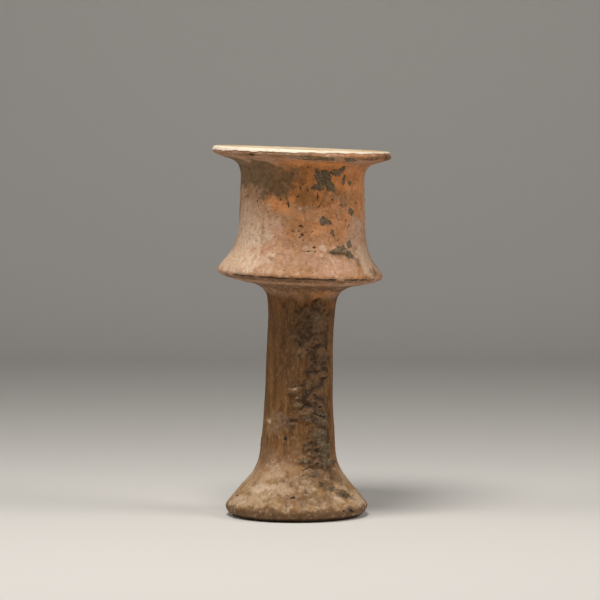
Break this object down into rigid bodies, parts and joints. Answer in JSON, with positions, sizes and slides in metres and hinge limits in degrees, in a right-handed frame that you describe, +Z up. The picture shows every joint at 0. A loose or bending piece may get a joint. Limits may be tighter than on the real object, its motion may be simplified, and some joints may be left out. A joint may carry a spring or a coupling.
{
  "type": "goblet drum",
  "caption": "Goblet drum with a fired-clay body: trumpet foot, slim stem, keeled bowl with a flared rim, and a glued skin head.",
  "frame": {"origin": "centre of the whole drum's box, on the plane that the foot stands on", "axes": "+Z up from the foot to the skin head, -Y towards the front, +X towards the side that the stem leans to"},
  "size_m": [0.1464, 0.1466, 0.301],
  "materials": {
    "fired_clay": "unglazed, weathered, with pits and grey burial crust",
    "clay_lute": "unglazed, finger-smoothed",
    "hide": "thin scraped rawhide, matte",
    "hide_glue": "dried hide glue"
  },
  "bodies": {
    "root": {"foot": "fired_clay", "stem": "fired_clay", "bowl_floor": "fired_clay", "bowl_wall": "fired_clay", "foot_lute": "clay_lute", "collar_lute": "clay_lute", "keel_lute": "clay_lute", "head_glue": "hide_glue", "drum_skin": "hide"}
  },
  "joints": []
}
